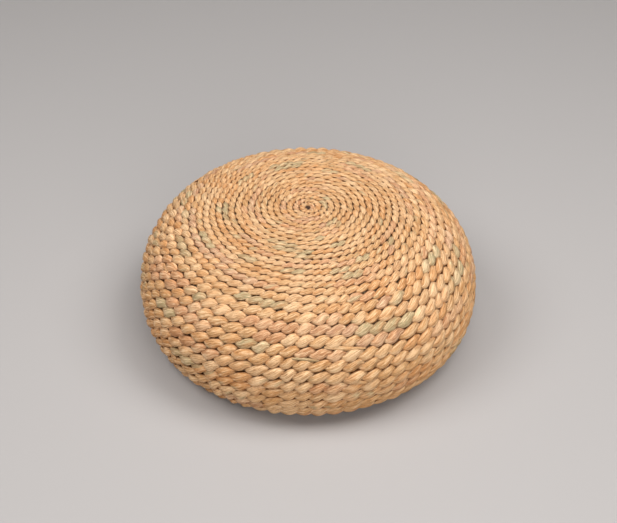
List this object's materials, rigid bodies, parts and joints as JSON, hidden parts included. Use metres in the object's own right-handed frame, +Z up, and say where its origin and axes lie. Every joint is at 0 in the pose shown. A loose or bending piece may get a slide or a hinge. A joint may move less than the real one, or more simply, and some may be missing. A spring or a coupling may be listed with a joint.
{
  "type": "woven rush seat pad",
  "caption": "Round domed seat pad of twined rush over radial spokes, rounded side, flat underside, foam core inside.",
  "frame": {"origin": "middle of the underside, on the surface that the pad rests on", "axes": "+Z up through the middle of the crown; the pad is round about Z, and -Y is taken as its front"},
  "size_m": [0.3999, 0.4, 0.17],
  "materials": {
    "twined_rush": "matte dried rush, twisted by hand",
    "spoke_rush": "matte dried rush, tightly wrapped",
    "liner_cloth": "plain unbleached cotton",
    "core_foam": "open-cell foam"
  },
  "bodies": {
    "root": {"base_course_01": "twined_rush", "base_course_02": "twined_rush", "base_course_03": "twined_rush", "base_course_04": "twined_rush", "base_course_05": "twined_rush", "base_course_06": "twined_rush", "base_course_07": "twined_rush", "base_course_08": "twined_rush", "base_course_09": "twined_rush", "base_course_10": "twined_rush", "base_course_11": "twined_rush", "base_eye": "twined_rush", "base_rosette": "spoke_rush", "core_slab_1": "core_foam", "core_slab_2": "core_foam", "core_slab_3": "core_foam", "crown_eye": "twined_rush", "crown_rosette": "spoke_rush", "liner_band": "liner_cloth", "liner_base": "liner_cloth", "liner_top": "liner_cloth", "primary_spokes": "spoke_rush", "second_spokes": "spoke_rush", "side_course_01": "twined_rush", "side_course_02": "twined_rush", "side_course_03": "twined_rush", "side_course_04": "twined_rush", "side_course_05": "twined_rush", "side_course_06": "twined_rush", "side_course_07": "twined_rush", "side_course_08": "twined_rush", "side_course_09": "twined_rush", "side_course_10": "twined_rush", "side_course_11": "twined_rush", "third_spokes": "spoke_rush", "top_course_01": "twined_rush", "top_course_02": "twined_rush", "top_course_03": "twined_rush", "top_course_04": "twined_rush", "top_course_05": "twined_rush", "top_course_06": "twined_rush", "top_course_07": "twined_rush", "top_course_08": "twined_rush", "top_course_09": "twined_rush", "top_course_10": "twined_rush", "top_course_11": "twined_rush", "top_course_12": "twined_rush", "top_course_13": "twined_rush", "top_course_14": "twined_rush", "top_course_15": "twined_rush", "top_course_16": "twined_rush", "top_course_17": "twined_rush", "top_course_18": "twined_rush", "top_course_19": "twined_rush", "top_course_20": "twined_rush", "top_course_21": "twined_rush"}
  },
  "joints": []
}
